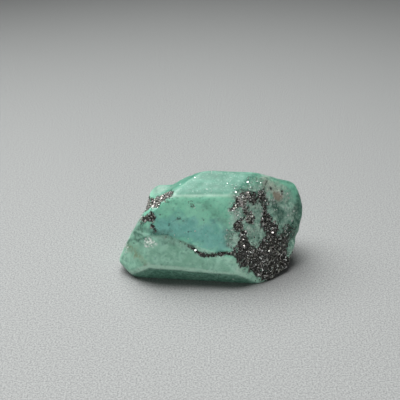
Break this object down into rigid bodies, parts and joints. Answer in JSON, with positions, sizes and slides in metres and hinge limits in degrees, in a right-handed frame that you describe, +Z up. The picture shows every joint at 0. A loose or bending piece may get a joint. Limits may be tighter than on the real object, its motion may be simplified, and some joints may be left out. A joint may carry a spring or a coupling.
{
  "type": "raw emerald crystal",
  "caption": "Rough emerald prism lying on its side, grown together with smaller crystals and mica schist; a tumbled stone that rests on a flat base.",
  "frame": {"origin": "on the surface that the stone rests on, under the middle of its bounding box", "axes": "+Z up; -Y the front, towards the large prism's front side and the ledge at its foot; +X along the prisms, towards the end that carries the schist"},
  "size_m": [0.0288, 0.0158, 0.0156],
  "materials": {
    "emerald": "satin",
    "mica_schist": "matte"
  },
  "bodies": {
    "root": {"emerald_crystal": "emerald"}
  },
  "joints": []
}
